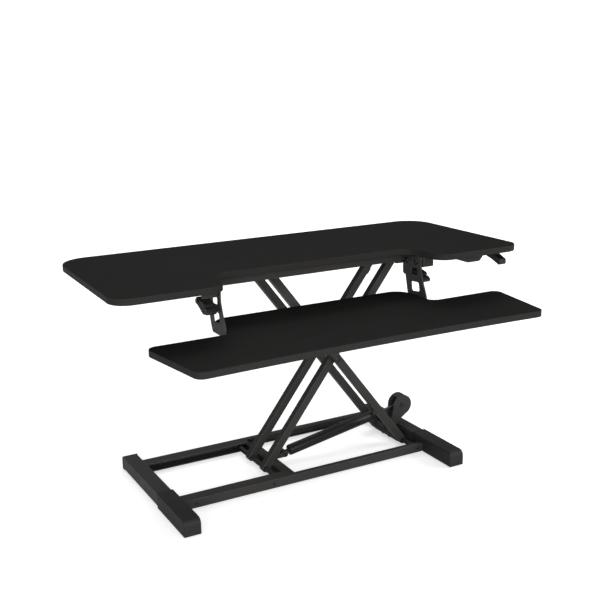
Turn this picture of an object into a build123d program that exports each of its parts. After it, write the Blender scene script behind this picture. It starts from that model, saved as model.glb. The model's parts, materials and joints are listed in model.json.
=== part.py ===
from build123d import *
import os
from math import acos, atan2, cos, degrees, hypot, radians, sin

# Standing desk converter, stored at its full height: a notched desktop and a tapered
# keyboard tray carried by a four-tube scissor on a base of two feet and two rails.
# Millimetres, +X to the user's right, +Y to the rear, +Z up, floor at z = 0.

# --- driving dimensions -------------------------------------------------------------
DESK_FRONT_WIDTH, DESK_REAR_WIDTH = 1028, 1016
DESK_FRONT, DESK_REAR = -132, 307
DESK_TOP = 561
BOARD = 15
NOTCH_HALF_WIDTH, NOTCH_BACK = 262, -18
DESK_FRONT_CORNER, DESK_REAR_CORNER = 42, 70
NOTCH_INNER_RADIUS, NOTCH_OUTER_RADIUS = 48, 42

TRAY_TOP = 452
TRAY_REAR_HALF_WIDTH, TRAY_FRONT_HALF_WIDTH = 452, 420
TRAY_FRONT, TRAY_FRONT_HOLLOW = -321.2, 11
TRAY_WING_REAR, TRAY_TONGUE_REAR, TONGUE_HALF_WIDTH = -118, 7, 257
TRAY_CORNER, TONGUE_CORNER, TONGUE_FILLET = 20, 42, 24

MID_Y = 155                      # middle plane of the scissor, between front and rear
FIXED_X, SLIDING_X = 321, -76    # pivots at rest: fixed side and rolling side
LOW_PIVOT_Z, HIGH_PIVOT_Z = 15, 535

BASE_RAIL_HALF_SPAN, TOP_RAIL_HALF_SPAN = 137, 147
RAIL_HEIGHT, RAIL_WALL = 22, 2
TRACK_DEPTH, PLAIN_DEPTH, TRACK_END_X = 34, 14, -50
TOP_RAIL_HALF_LENGTH = 345
TOP_RAIL_SCREWS_X = (-336, 0, 120, 240)

FOOT_REAR, FOOT_FRONT = 320, -100
FOOT_INNER_X, FOOT_OUTER_X = 340.5, 377
FOOT_BOTTOM, FOOT_TUBE_TOP = 3, 38.5
COVER_INNER_X, COVER_OUTER_X = 338.2, 379.2
COVER_TOP, COVER_REAR = 41, 65

TUBE = 20                        # leg tubes are square
TUBE_WALL = 1.5
LEG_GAP = 3                      # washer between an inner and an outer leg
INNER_LEG_OFFSET = 30            # middle plane to the near face of an inner leg
AXLE_RADIUS, SPIGOT_RADIUS, ROLLER_RADIUS, ROLLER_WIDTH = 6.5, 4, 8.7, 20
CENTRE_BOLT_RADIUS = 5
RUNNING = 0.05                   # radial clearance of every pin in its bore

SPRING_BASE = (-2, 24)           # x, z of the gas spring's lower pin
SPRING_HEAD = (358, 88)          # x, z of its upper pin, on the rocker
CYLINDER_RADIUS, CYLINDER_BORE, CYLINDER_LIP = 14, 11.5, 8
CYLINDER_START, CYLINDER_LENGTH = 16, 262      # along the spring, from its lower pin
ROD_RADIUS, PISTON_RADIUS, PISTON_INSET = 4, 7, 60
SPRING_PIN_RADIUS, ROCKER_PIN_RADIUS = 4, 5
ROCKER_RADIUS = 28

ARM_INNER_X, SHEET = 259, 3      # the tray arms and hangers are bent from 3 mm sheet
HANGER_OUTER_X, EAR_INNER_X = 300, 222
FLANGE_MID_Y, FLANGE_DEPTH, LIP_Y = -38, 52, -64
FLANGE_SCREW_X, FLANGE_SCREWS_Y = 288, (-47, -24)
SHELF_MID_Y, SHELF_DEPTH, SHELF_WIDTH = -60, 70, 36
TRAY_SCREW_X, TRAY_SCREWS_Y = 240, (-84, -34)
LATCH_HUB = (-14, 504)           # y, z of the latch pivot
LATCH_INNER_X, LATCH_OUTER_X, LATCH_PIN_END_X = 268, 290, 293
LATCH_PIN_RADIUS, STUD_RADIUS, BOLT_RADIUS = 3, 3.5, 4
LEVER_PIVOT = (-78, 535)         # y, z of the release lever's pivot
LEVER_LEFT_X, LEVER_RIGHT_X = 455, 475
SHAFT_RADIUS = 3.5

os.makedirs("parts", exist_ok=True)

# --- worked out from the driving dimensions -----------------------------------------
DESK_BOTTOM = DESK_TOP - BOARD
TRAY_BOTTOM = TRAY_TOP - BOARD
SPAN_X, SPAN_Z = FIXED_X - SLIDING_X, HIGH_PIVOT_Z - LOW_PIVOT_Z
LEG_LENGTH = hypot(SPAN_X, SPAN_Z)
LEG_ANGLE = degrees(atan2(SPAN_Z, SPAN_X))
CENTRE = (FIXED_X - SPAN_X / 2, LOW_PIVOT_Z + SPAN_Z / 2)
INNER_NEAR = INNER_LEG_OFFSET
INNER_FAR = INNER_NEAR + TUBE
OUTER_NEAR = INNER_FAR + LEG_GAP
OUTER_FAR = OUTER_NEAR + TUBE
SPRING_DX, SPRING_DZ = SPRING_HEAD[0] - SPRING_BASE[0], SPRING_HEAD[1] - SPRING_BASE[1]
SPRING_LENGTH = hypot(SPRING_DX, SPRING_DZ)
BASE_RAIL_Z = LOW_PIVOT_Z - RAIL_HEIGHT / 2
TOP_RAIL_Z = HIGH_PIVOT_Z - RAIL_HEIGHT / 2
SCREW_RADIUS, SCREW_HEAD_RADIUS, SCREW_HEAD = 2.5, 4.5, 1.6
SCREW_DEPTH = 11                 # pilot holes in the boards
TOP_EDGE_RADIUS, BOTTOM_EDGE_RADIUS = 1.5, 1


def save(part, name):
    """Label one finished piece and write it as its own node."""
    part.label = name
    export_step(part, f"parts/{name}.step")


def upright(y_back):
    """Plane whose sketch axes are X and Z and whose extrusion runs towards the front."""
    return Plane.XZ.offset(-y_back)


def sideways(x_left):
    """Plane whose sketch axes are Y and Z and whose extrusion runs towards +X."""
    return Plane.YZ.offset(x_left)


def bar_along_y(x, z, radius, y_front, y_back):
    """Plain round bar parallel to Y."""
    with BuildPart() as bar:
        with BuildSketch(upright(y_back)):
            with Locations((x, z)):
                Circle(radius)
        extrude(amount=y_back - y_front)
    return bar.part


def ring_along_y(x, z, outer, inner, y_front, y_back):
    """Ring or tube parallel to Y."""
    with BuildPart() as ring:
        with BuildSketch(upright(y_back)):
            with Locations((x, z)):
                Circle(outer)
                Circle(inner, mode=Mode.SUBTRACT)
        extrude(amount=y_back - y_front)
    return ring.part


# --- boards -------------------------------------------------------------------------
def vertices_at(corners):
    """Vertices of the sketch being built that lie at the given corners."""
    found = ShapeList()
    for x, y in corners:
        found += vertices().filter_by(lambda v: hypot(v.X - x, v.Y - y) < 1)
    return found


def desk_screw_places():
    """X, Y of every screw that goes up into the desktop, and the height of its head."""
    places = []
    for x in TOP_RAIL_SCREWS_X:
        for face in (-1, 1):
            places.append((x, MID_Y + face * (TOP_RAIL_HALF_SPAN - PLAIN_DEPTH / 2 - 1),
                           TOP_RAIL_Z + RAIL_HEIGHT - RAIL_WALL))
    for side in (-1, 1):
        for y in FLANGE_SCREWS_Y:
            places.append((side * FLANGE_SCREW_X, y, DESK_BOTTOM - SHEET))
    return places


def tray_screw_places():
    """X, Y of every screw that goes up into the keyboard tray."""
    return [(side * TRAY_SCREW_X, y) for side in (-1, 1) for y in TRAY_SCREWS_Y]


HALF_FRONT, HALF_REAR = DESK_FRONT_WIDTH / 2, DESK_REAR_WIDTH / 2
NOSE_HALF_WIDTH = NOTCH_HALF_WIDTH + 6
with BuildPart() as desktop:
    with BuildSketch(Plane.XY.offset(DESK_BOTTOM)):
        with BuildLine():
            Polyline(
                (-HALF_FRONT, DESK_FRONT), (-NOSE_HALF_WIDTH, DESK_FRONT),
                (-NOTCH_HALF_WIDTH, NOTCH_BACK), (NOTCH_HALF_WIDTH, NOTCH_BACK),
                (NOSE_HALF_WIDTH, DESK_FRONT), (HALF_FRONT, DESK_FRONT),
                (HALF_REAR, DESK_REAR), (-HALF_REAR, DESK_REAR), close=True,
            )
        make_face()
        front = [(s * HALF_FRONT, DESK_FRONT) for s in (-1, 1)]
        rear = [(s * HALF_REAR, DESK_REAR) for s in (-1, 1)]
        inner = [(s * NOTCH_HALF_WIDTH, NOTCH_BACK) for s in (-1, 1)]
        nose = [(s * NOSE_HALF_WIDTH, DESK_FRONT) for s in (-1, 1)]
        fillet(vertices_at(front), radius=DESK_FRONT_CORNER)
        fillet(vertices_at(rear), radius=DESK_REAR_CORNER)
        fillet(vertices_at(inner), radius=NOTCH_INNER_RADIUS)
        fillet(vertices_at(nose), radius=NOTCH_OUTER_RADIUS)
    extrude(amount=BOARD)
    fillet(faces().filter_by(Axis.Z).sort_by(Axis.Z)[-1].edges(), radius=TOP_EDGE_RADIUS)
    fillet(faces().filter_by(Axis.Z).sort_by(Axis.Z)[0].edges(), radius=BOTTOM_EDGE_RADIUS)
    with BuildSketch(Plane.XY.offset(DESK_BOTTOM)):
        with Locations(*[(x, y) for x, y, head in desk_screw_places()]):
            Circle(SCREW_RADIUS)
    extrude(amount=SCREW_DEPTH, mode=Mode.SUBTRACT)
save(desktop.part, "desktop")

with BuildPart() as tray:
    with BuildSketch(Plane.XY.offset(TRAY_BOTTOM)):
        with BuildLine():
            Polyline(
                (TRAY_FRONT_HALF_WIDTH, TRAY_FRONT), (TRAY_REAR_HALF_WIDTH, TRAY_WING_REAR),
                (TONGUE_HALF_WIDTH, TRAY_WING_REAR), (TONGUE_HALF_WIDTH, TRAY_TONGUE_REAR),
                (-TONGUE_HALF_WIDTH, TRAY_TONGUE_REAR), (-TONGUE_HALF_WIDTH, TRAY_WING_REAR),
                (-TRAY_REAR_HALF_WIDTH, TRAY_WING_REAR), (-TRAY_FRONT_HALF_WIDTH, TRAY_FRONT),
            )
            ThreePointArc(
                (-TRAY_FRONT_HALF_WIDTH, TRAY_FRONT), (0, TRAY_FRONT + TRAY_FRONT_HOLLOW),
                (TRAY_FRONT_HALF_WIDTH, TRAY_FRONT),
            )
        make_face()
        outer = [(s * TRAY_FRONT_HALF_WIDTH, TRAY_FRONT) for s in (-1, 1)]
        outer += [(s * TRAY_REAR_HALF_WIDTH, TRAY_WING_REAR) for s in (-1, 1)]
        tongue = [(s * TONGUE_HALF_WIDTH, TRAY_TONGUE_REAR) for s in (-1, 1)]
        root = [(s * TONGUE_HALF_WIDTH, TRAY_WING_REAR) for s in (-1, 1)]
        fillet(vertices_at(outer), radius=TRAY_CORNER)
        fillet(vertices_at(tongue), radius=TONGUE_CORNER)
        fillet(vertices_at(root), radius=TONGUE_FILLET)
    extrude(amount=BOARD)
    fillet(faces().filter_by(Axis.Z).sort_by(Axis.Z)[-1].edges(), radius=TOP_EDGE_RADIUS)
    fillet(faces().filter_by(Axis.Z).sort_by(Axis.Z)[0].edges(), radius=BOTTOM_EDGE_RADIUS)
    with BuildSketch(Plane.XY.offset(TRAY_BOTTOM)):
        with Locations(*tray_screw_places()):
            Circle(SCREW_RADIUS)
    extrude(amount=SCREW_DEPTH, mode=Mode.SUBTRACT)
save(tray.part, "keyboard_tray")


# --- rails --------------------------------------------------------------------------
def rail(inward, half_span, z_low, half_length, screw_x):
    """C-shaped rail open towards the middle plane, with deep flanges along the roller track."""
    web_y = MID_Y - inward * half_span
    with BuildPart() as channel:
        for x_from, x_to, depth in ((-half_length, TRACK_END_X, TRACK_DEPTH),
                                    (TRACK_END_X, half_length, PLAIN_DEPTH)):
            with BuildSketch(sideways(x_from)):
                with Locations((web_y + inward * depth / 2, z_low + RAIL_HEIGHT / 2)):
                    Rectangle(depth, RAIL_HEIGHT)
                with Locations((web_y + inward * (depth + RAIL_WALL) / 2, z_low + RAIL_HEIGHT / 2)):
                    Rectangle(depth - RAIL_WALL, RAIL_HEIGHT - 2 * RAIL_WALL, mode=Mode.SUBTRACT)
            extrude(amount=x_to - x_from)
        with BuildSketch(upright(web_y + 5)):
            with Locations(*[(x, z_low + RAIL_HEIGHT / 2) for x in screw_x]):
                Circle(SCREW_RADIUS)
        extrude(amount=10, mode=Mode.SUBTRACT)
    return channel.part


BASE_SCREWS_X = (-300, -98, FIXED_X)
for name, inward in (("front", 1), ("rear", -1)):
    save(rail(inward, BASE_RAIL_HALF_SPAN, BASE_RAIL_Z, FOOT_INNER_X, BASE_SCREWS_X),
         f"base_rail_{name}")
    shape = rail(inward, TOP_RAIL_HALF_SPAN, TOP_RAIL_Z, TOP_RAIL_HALF_LENGTH, (FIXED_X,))
    with BuildPart() as top_rail:
        add(shape)
        with BuildSketch(Plane.XY.offset(TOP_RAIL_Z + RAIL_HEIGHT / 2)):
            for x, y, head in desk_screw_places():
                if abs(y - MID_Y) < TOP_RAIL_HALF_SPAN:
                    with Locations((x, y)):
                        Circle(SCREW_RADIUS)
        extrude(amount=RAIL_HEIGHT, mode=Mode.SUBTRACT)
    save(top_rail.part, f"top_rail_{name}")

TIE_THICKNESS = 3
for name, side in (("left", -1), ("right", 1)):
    tie_x = side * (TOP_RAIL_HALF_LENGTH - TIE_THICKNESS / 2)
    with BuildPart() as tie:
        with Locations((tie_x, MID_Y, HIGH_PIVOT_Z)):
            Box(TIE_THICKNESS, 2 * (TOP_RAIL_HALF_SPAN - RAIL_WALL), RAIL_HEIGHT - 2 * RAIL_WALL)
    save(tie.part, f"top_tie_{name}")

# Cross plate on the lower flanges, bent up into a rib that carries the gas spring.
PLATE_LEFT, PLATE_RIGHT, PLATE_RISE, PLATE_WALL = -62, -18, 8, 2.5
PLATE_LIP, PLATE_SLOPE = 8, 4
PLATE_LIP_ABOVE = PLATE_LIP - 1.5
with BuildPart() as cross_plate:
    plate_z = BASE_RAIL_Z + RAIL_WALL
    below = ((0, 0), (PLATE_LIP, 0), (PLATE_LIP + PLATE_SLOPE, PLATE_RISE))
    above = ((PLATE_LIP_ABOVE + PLATE_SLOPE, PLATE_RISE + PLATE_WALL),
             (PLATE_LIP_ABOVE, PLATE_WALL), (0, PLATE_WALL))
    with BuildSketch(upright(MID_Y + BASE_RAIL_HALF_SPAN - RAIL_WALL)):
        outline = [(PLATE_LEFT + x, plate_z + z) for x, z in below]
        outline += [(PLATE_RIGHT - x, plate_z + z) for x, z in reversed(below)]
        outline += [(PLATE_RIGHT - x, plate_z + z) for x, z in reversed(above)]
        outline += [(PLATE_LEFT + x, plate_z + z) for x, z in above]
        Polygon(*outline, align=None)
    extrude(amount=2 * (BASE_RAIL_HALF_SPAN - RAIL_WALL))
save(cross_plate.part, "base_cross_plate")


# --- feet ---------------------------------------------------------------------------
PAD_LENGTH, PAD_WIDTH = 34, 22
TONGUE_SHIFT = RAIL_WALL + 1
FOOT_CENTRE_X = (FOOT_INNER_X + FOOT_OUTER_X) / 2
for name, side in (("left", -1), ("right", 1)):
    foot_width = FOOT_OUTER_X - FOOT_INNER_X
    tube_front, tube_rear = FOOT_FRONT + 14, FOOT_REAR - 14
    tube_mid_z = (FOOT_BOTTOM + 0.5 + FOOT_TUBE_TOP) / 2
    tube_height = FOOT_TUBE_TOP - FOOT_BOTTOM - 0.5
    with BuildPart() as foot:
        with BuildSketch(upright(tube_rear)):
            with Locations((side * FOOT_CENTRE_X, tube_mid_z)):
                RectangleRounded(foot_width, tube_height, 3)
                RectangleRounded(foot_width - 4, tube_height - 4, 1.2, mode=Mode.SUBTRACT)
        extrude(amount=tube_rear - tube_front)
    save(foot.part, f"foot_{name}")

    cover_x = side * (COVER_INNER_X + COVER_OUTER_X) / 2
    cover_width = COVER_OUTER_X - COVER_INNER_X
    with BuildPart() as cover:
        with BuildSketch(sideways(cover_x - cover_width / 2)):
            with BuildLine():
                Polyline(
                    (COVER_REAR, FOOT_BOTTOM), (FOOT_FRONT, FOOT_BOTTOM), (FOOT_FRONT, COVER_TOP),
                    (COVER_REAR, COVER_TOP), close=True,
                )
            make_face()
            fillet(vertices_at([(FOOT_FRONT, COVER_TOP)]), radius=15)
        extrude(amount=cover_width)
        long_edges = edges().filter_by(Axis.Y).group_by(Axis.Z)[-1]
        fillet(long_edges, radius=3)
        with BuildSketch(upright(COVER_REAR)):
            with Locations((side * FOOT_CENTRE_X, tube_mid_z)):
                RectangleRounded(foot_width, tube_height, 3)
        extrude(amount=COVER_REAR - tube_front, mode=Mode.SUBTRACT)
        rail_middle = MID_Y - BASE_RAIL_HALF_SPAN + TRACK_DEPTH / 2
        with Locations((side * COVER_INNER_X, rail_middle, FOOT_BOTTOM + 12.5)):
            Box(6, TRACK_DEPTH + 2, 25, mode=Mode.SUBTRACT)
        # A tongue on the cover closes the end of the rail's channel.
        tongue_wall = FOOT_INNER_X - COVER_INNER_X
        with Locations((side * (COVER_INNER_X + tongue_wall / 2), rail_middle + TONGUE_SHIFT, LOW_PIVOT_Z)):
            Box(tongue_wall, TRACK_DEPTH, RAIL_HEIGHT - 2 * RAIL_WALL - 2)
    save(cover.part, f"foot_cover_{name}")

    with BuildPart() as rear_cap:
        with BuildSketch(sideways(side * FOOT_CENTRE_X - foot_width / 2)):
            with BuildLine():
                Polyline(
                    (tube_rear, FOOT_BOTTOM), (FOOT_REAR, FOOT_BOTTOM),
                    (FOOT_REAR, FOOT_TUBE_TOP), (tube_rear, FOOT_TUBE_TOP), close=True,
                )
            make_face()
            fillet(vertices_at([(FOOT_REAR, FOOT_TUBE_TOP)]), radius=11)
        extrude(amount=foot_width)
        with BuildSketch(upright(tube_rear)):
            with Locations((side * FOOT_CENTRE_X, tube_mid_z)):
                RectangleRounded(foot_width - 4.2, tube_height - 4.2, 1.2)
        extrude(amount=12)
    save(rear_cap.part, f"foot_rear_cap_{name}")

with BuildPart() as pads:
    with BuildSketch(Plane.XY):
        for side in (-1, 1):
            for y in (FOOT_FRONT + 30, FOOT_REAR - 30):
                with Locations((side * FOOT_CENTRE_X, y)):
                    RectangleRounded(PAD_WIDTH, PAD_LENGTH, 5)
    extrude(amount=FOOT_BOTTOM)
save(pads.part, "rubber_pads")


# --- scissor ------------------------------------------------------------------------
def leg(y_near, y_far, rising, bores):
    """Square tube with round ends in the XZ plane; bores are (distance from centre, radius)."""
    angle = LEG_ANGLE if rising else 180 - LEG_ANGLE
    y_front, y_back = min(y_near, y_far), max(y_near, y_far)
    along = (cos(radians(angle)), sin(radians(angle)))
    with BuildPart() as tube:
        with BuildSketch(upright(y_back)):
            with Locations(CENTRE):
                SlotCenterToCenter(LEG_LENGTH, TUBE, rotation=angle)
        extrude(amount=TUBE)
        fillet(edges().filter_by(GeomType.LINE).filter_by(Axis.Y, reverse=True), radius=2)
        with BuildSketch(upright(y_back - TUBE_WALL)):
            with Locations(CENTRE):
                Rectangle(LEG_LENGTH - 24, TUBE - 2 * TUBE_WALL, rotation=angle)
        extrude(amount=TUBE - 2 * TUBE_WALL, mode=Mode.SUBTRACT)
        with BuildSketch(upright(y_back)):
            for distance, radius in bores:
                with Locations((CENTRE[0] + distance * along[0], CENTRE[1] + distance * along[1])):
                    Circle(radius)
        extrude(amount=y_back - y_front, mode=Mode.SUBTRACT)
    return tube.part


END_BORE = AXLE_RADIUS + RUNNING
HALF_LEG = LEG_LENGTH / 2
LEG_BORES = ((-HALF_LEG, END_BORE), (0, CENTRE_BOLT_RADIUS + RUNNING), (HALF_LEG, END_BORE))
for name, face in (("front", -1), ("rear", 1)):
    save(leg(MID_Y + face * INNER_NEAR, MID_Y + face * INNER_FAR, True, LEG_BORES),
         f"inner_leg_{name}")
    save(leg(MID_Y + face * OUTER_NEAR, MID_Y + face * OUTER_FAR, False, LEG_BORES),
         f"outer_leg_{name}")

    # Centre pivot: shoulder bolt through the outer and inner leg, with a nut and a washer.
    head_y = MID_Y + face * (OUTER_FAR + 2)
    nut_y = MID_Y + face * (INNER_NEAR - 3)
    with BuildPart() as bolt:
        with BuildSketch(upright(max(head_y, nut_y))):
            with Locations(CENTRE):
                Circle(CENTRE_BOLT_RADIUS)
        extrude(amount=abs(head_y - nut_y))
        with BuildSketch(upright(max(head_y, MID_Y + face * OUTER_FAR))):
            with Locations(CENTRE):
                Circle(9)
        extrude(amount=2)
        with BuildSketch(upright(max(nut_y, MID_Y + face * (INNER_NEAR - 0.3)))):
            with Locations(CENTRE):
                RegularPolygon(8, 6)
        extrude(amount=2.7)
    save(bolt.part, f"centre_bolt_{name}")

with BuildPart() as washers:
    for face in (-1, 1):
        washer_back = MID_Y + face * (INNER_FAR + LEG_GAP / 2) + LEG_GAP / 2 - 0.25
        with BuildSketch(upright(washer_back)):
            with Locations(CENTRE):
                Circle(9.5)
                Circle(CENTRE_BOLT_RADIUS + RUNNING, mode=Mode.SUBTRACT)
        extrude(amount=LEG_GAP - 0.5)
save(washers.part, "centre_washers")


def roller_axle(x, z, half_span):
    """Round bar between two rollers, turned down at both ends where the rollers sit."""
    spigot_end = half_span - RAIL_WALL - 2
    shoulder = spigot_end - ROLLER_WIDTH - 3.5
    with BuildPart() as axle:
        with BuildSketch(upright(MID_Y + spigot_end)):
            with Locations((x, z)):
                Circle(SPIGOT_RADIUS)
        extrude(amount=2 * spigot_end)
        with BuildSketch(upright(MID_Y + shoulder)):
            with Locations((x, z)):
                Circle(AXLE_RADIUS)
        extrude(amount=2 * shoulder)
    return axle.part


def roller(x, z, half_span, face):
    """Nylon roller with a grooved hub on the turned-down end of an axle."""
    near = half_span - RAIL_WALL - 4 - ROLLER_WIDTH
    y_a, y_b = MID_Y + face * near, MID_Y + face * (near + ROLLER_WIDTH)
    with BuildPart() as wheel:
        with BuildSketch(upright(max(y_a, y_b))):
            with Locations((x, z)):
                Circle(ROLLER_RADIUS)
                Circle(SPIGOT_RADIUS + RUNNING, mode=Mode.SUBTRACT)
        extrude(amount=ROLLER_WIDTH)
        rims = edges().filter_by(GeomType.CIRCLE).filter_by(lambda e: e.radius > SPIGOT_RADIUS + 1)
        chamfer(rims, length=1)
    return wheel.part


save(roller_axle(SLIDING_X, LOW_PIVOT_Z, BASE_RAIL_HALF_SPAN), "lower_roller_axle")
save(roller_axle(SLIDING_X, HIGH_PIVOT_Z, TOP_RAIL_HALF_SPAN), "upper_roller_axle")
for name, face in (("front", -1), ("rear", 1)):
    save(roller(SLIDING_X, LOW_PIVOT_Z, BASE_RAIL_HALF_SPAN, face), f"lower_roller_{name}")
    save(roller(SLIDING_X, HIGH_PIVOT_Z, TOP_RAIL_HALF_SPAN, face), f"upper_roller_{name}")


def fixed_axle(z, half_span):
    """Round bar held between two rail webs by a screw in each end."""
    half = half_span - RAIL_WALL
    with BuildPart() as axle:
        with BuildSketch(upright(MID_Y + half)):
            with Locations((FIXED_X, z)):
                Circle(AXLE_RADIUS)
        extrude(amount=2 * half)
        for face in (-1, 1):
            with BuildSketch(upright(MID_Y + max(face * half, face * (half - 12)))):
                with Locations((FIXED_X, z)):
                    Circle(SCREW_RADIUS)
            extrude(amount=12, mode=Mode.SUBTRACT)
    return axle.part


save(fixed_axle(LOW_PIVOT_Z, BASE_RAIL_HALF_SPAN), "base_pivot_axle")
save(fixed_axle(HIGH_PIVOT_Z, TOP_RAIL_HALF_SPAN), "top_pivot_axle")

TORSION_RADIUS = 11
save(ring_along_y(FIXED_X, LOW_PIVOT_Z, TORSION_RADIUS, AXLE_RADIUS + 0.5,
                  MID_Y - OUTER_NEAR, MID_Y + OUTER_NEAR), "torsion_tube")

BRACE_AT = 0.64                  # place of the brace along an inner leg, from its foot
BRACE_X, BRACE_Z = SLIDING_X + BRACE_AT * SPAN_X, LOW_PIVOT_Z + BRACE_AT * SPAN_Z
save(ring_along_y(BRACE_X, BRACE_Z, 8, 6.5, MID_Y - INNER_NEAR, MID_Y + INNER_NEAR), "inner_brace")

# Small moulded clip on the underside of the rear inner leg, near its top.
CLIP_AT = 0.872
CLIP_THICKNESS = 4
with BuildPart() as leg_clip:
    clip_x = SLIDING_X + CLIP_AT * SPAN_X + (TUBE + CLIP_THICKNESS) / 2 * sin(radians(LEG_ANGLE))
    clip_z = LOW_PIVOT_Z + CLIP_AT * SPAN_Z - (TUBE + CLIP_THICKNESS) / 2 * cos(radians(LEG_ANGLE))
    with BuildSketch(upright(MID_Y + INNER_FAR - 4)):
        with Locations((clip_x, clip_z)):
            RectangleRounded(16, CLIP_THICKNESS, 1.2, rotation=LEG_ANGLE)
    extrude(amount=TUBE - 8)
save(leg_clip.part, "leg_clip")

# --- gas spring ---------------------------------------------------------------------
CHEEK_INNER, CHEEK = 11, 4
HEEL = (FOOT_INNER_X - 1, 42)    # x, z where the rocker's right edge clears the foot
BROW = -42                       # degrees, where that edge leaves the round head


def rocker_outline():
    """Corners of the rocker arm between the torsion tube and the tangents of its round head."""
    dx, dz = SPRING_HEAD[0] - FIXED_X, SPRING_HEAD[1] - LOW_PIVOT_Z
    turn = acos((ROCKER_RADIUS - TORSION_RADIUS) / hypot(dx, dz))
    left = atan2(dz, dx) + turn
    away = (cos(left), sin(left))
    right = radians(BROW)
    return (
        (FIXED_X + TORSION_RADIUS * away[0], LOW_PIVOT_Z + TORSION_RADIUS * away[1]),
        (SPRING_HEAD[0] + ROCKER_RADIUS * away[0], SPRING_HEAD[1] + ROCKER_RADIUS * away[1]),
        (SPRING_HEAD[0] + ROCKER_RADIUS * cos(right), SPRING_HEAD[1] + ROCKER_RADIUS * sin(right)),
        HEEL,
        (FIXED_X + TORSION_RADIUS, LOW_PIVOT_Z),
    )


for name, y_back in (("front", MID_Y - CHEEK_INNER), ("rear", MID_Y + CHEEK_INNER + CHEEK)):
    with BuildPart() as cheek:
        with BuildSketch(upright(y_back)):
            Polygon(*rocker_outline(), align=None)
            with Locations(SPRING_HEAD):
                Circle(ROCKER_RADIUS)
            with Locations((FIXED_X, LOW_PIVOT_Z)):
                Circle(TORSION_RADIUS, mode=Mode.SUBTRACT)
            with Locations(SPRING_HEAD):
                Circle(ROCKER_PIN_RADIUS, mode=Mode.SUBTRACT)
        extrude(amount=CHEEK)
    save(cheek.part, f"rocker_cheek_{name}")

STRAP_FROM, STRAP_TO, STRAP_WALL = -30, 122, 3
STRAP_OUTER = ROCKER_RADIUS - 0.5
with BuildPart() as strap:
    with BuildSketch(upright(MID_Y + CHEEK_INNER)):
        with BuildLine():
            outer_arc = CenterArc(SPRING_HEAD, STRAP_OUTER, STRAP_FROM, STRAP_TO - STRAP_FROM)
            inner_arc = CenterArc(SPRING_HEAD, STRAP_OUTER - STRAP_WALL, STRAP_FROM,
                                  STRAP_TO - STRAP_FROM)
            Line(outer_arc @ 0, inner_arc @ 0)
            Line(outer_arc @ 1, inner_arc @ 1)
        make_face()
    extrude(amount=2 * CHEEK_INNER)
save(strap.part, "rocker_strap")

PIN_HEAD = 2
with BuildPart() as rocker_pin:
    pin_half = CHEEK_INNER + CHEEK
    with BuildSketch(upright(MID_Y + pin_half + PIN_HEAD)):
        with Locations(SPRING_HEAD):
            Circle(ROCKER_PIN_RADIUS)
    extrude(amount=2 * (pin_half + PIN_HEAD))
    for y_back in (MID_Y + pin_half + PIN_HEAD, MID_Y - pin_half):
        with BuildSketch(upright(y_back)):
            with Locations(SPRING_HEAD):
                Circle(ROCKER_PIN_RADIUS + 2)
        extrude(amount=PIN_HEAD)
save(rocker_pin.part, "rocker_pin")

EYE_WIDTH, EYE_RADIUS = 18, 8
EAR_GAP, EAR = 10, 3
EAR_LEFT, EAR_STEP, EAR_TAIL = -48, -29, 5
with BuildPart() as spring_bracket:
    bracket_z = BASE_RAIL_Z + RAIL_WALL + PLATE_RISE + PLATE_WALL
    for y_back in (MID_Y - EAR_GAP, MID_Y + EAR_GAP + EAR):
        with BuildSketch(upright(y_back)):
            Polygon((EAR_LEFT, bracket_z), (EAR_STEP, bracket_z),
                    (SPRING_BASE[0] + 3, SPRING_BASE[1] - 7),
                    (SPRING_BASE[0], SPRING_BASE[1] + EYE_RADIUS),
                    (EAR_LEFT, bracket_z + EAR_TAIL), align=None)
            with Locations(SPRING_BASE):
                Circle(EYE_RADIUS)
                Circle(SPRING_PIN_RADIUS, mode=Mode.SUBTRACT)
        extrude(amount=EAR)
    with Locations((EAR_LEFT + 9, MID_Y, bracket_z + EAR / 2)):
        Box(18, 2 * (EAR_GAP + EAR), EAR)
save(spring_bracket.part, "spring_base_bracket")
pin_reach = EAR_GAP + EAR + PIN_HEAD
save(bar_along_y(*SPRING_BASE, SPRING_PIN_RADIUS, MID_Y - pin_reach, MID_Y + pin_reach),
     "spring_base_pin")

# The spring's own axis starts at its lower pin.
SPRING_AXIS = Plane(origin=(SPRING_BASE[0], MID_Y, SPRING_BASE[1]), x_dir=(0, 1, 0),
                    z_dir=(SPRING_DX, 0, SPRING_DZ))
NECK_START, NECK_RADIUS = 4.5, 5.5
END_WALL, LIP_WALL = 12, 14
with BuildPart() as cylinder:
    with BuildSketch(SPRING_AXIS.offset(NECK_START)):
        Circle(NECK_RADIUS)
    extrude(amount=CYLINDER_START - NECK_START)
    with BuildSketch(SPRING_AXIS.offset(CYLINDER_START)):
        Circle(CYLINDER_RADIUS)
    extrude(amount=CYLINDER_LENGTH)
    rims = edges().filter_by(GeomType.CIRCLE).filter_by(lambda e: e.radius > CYLINDER_RADIUS - 1)
    fillet(rims, radius=2)
    with BuildSketch(SPRING_AXIS.offset(CYLINDER_START + END_WALL)):
        Circle(CYLINDER_BORE)
    extrude(amount=CYLINDER_LENGTH - 2 * END_WALL, mode=Mode.SUBTRACT)
    with BuildSketch(SPRING_AXIS.offset(CYLINDER_START + CYLINDER_LENGTH - LIP_WALL)):
        Circle(CYLINDER_LIP)
    extrude(amount=2 * LIP_WALL, mode=Mode.SUBTRACT)
    with BuildSketch(upright(MID_Y + EYE_WIDTH / 2)):
        with Locations(SPRING_BASE):
            Circle(EYE_RADIUS)
    extrude(amount=EYE_WIDTH)
    with BuildSketch(upright(MID_Y + EYE_WIDTH / 2)):
        with Locations(SPRING_BASE):
            Circle(SPRING_PIN_RADIUS + RUNNING)
    extrude(amount=EYE_WIDTH, mode=Mode.SUBTRACT)
save(cylinder.part, "spring_cylinder")

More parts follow.
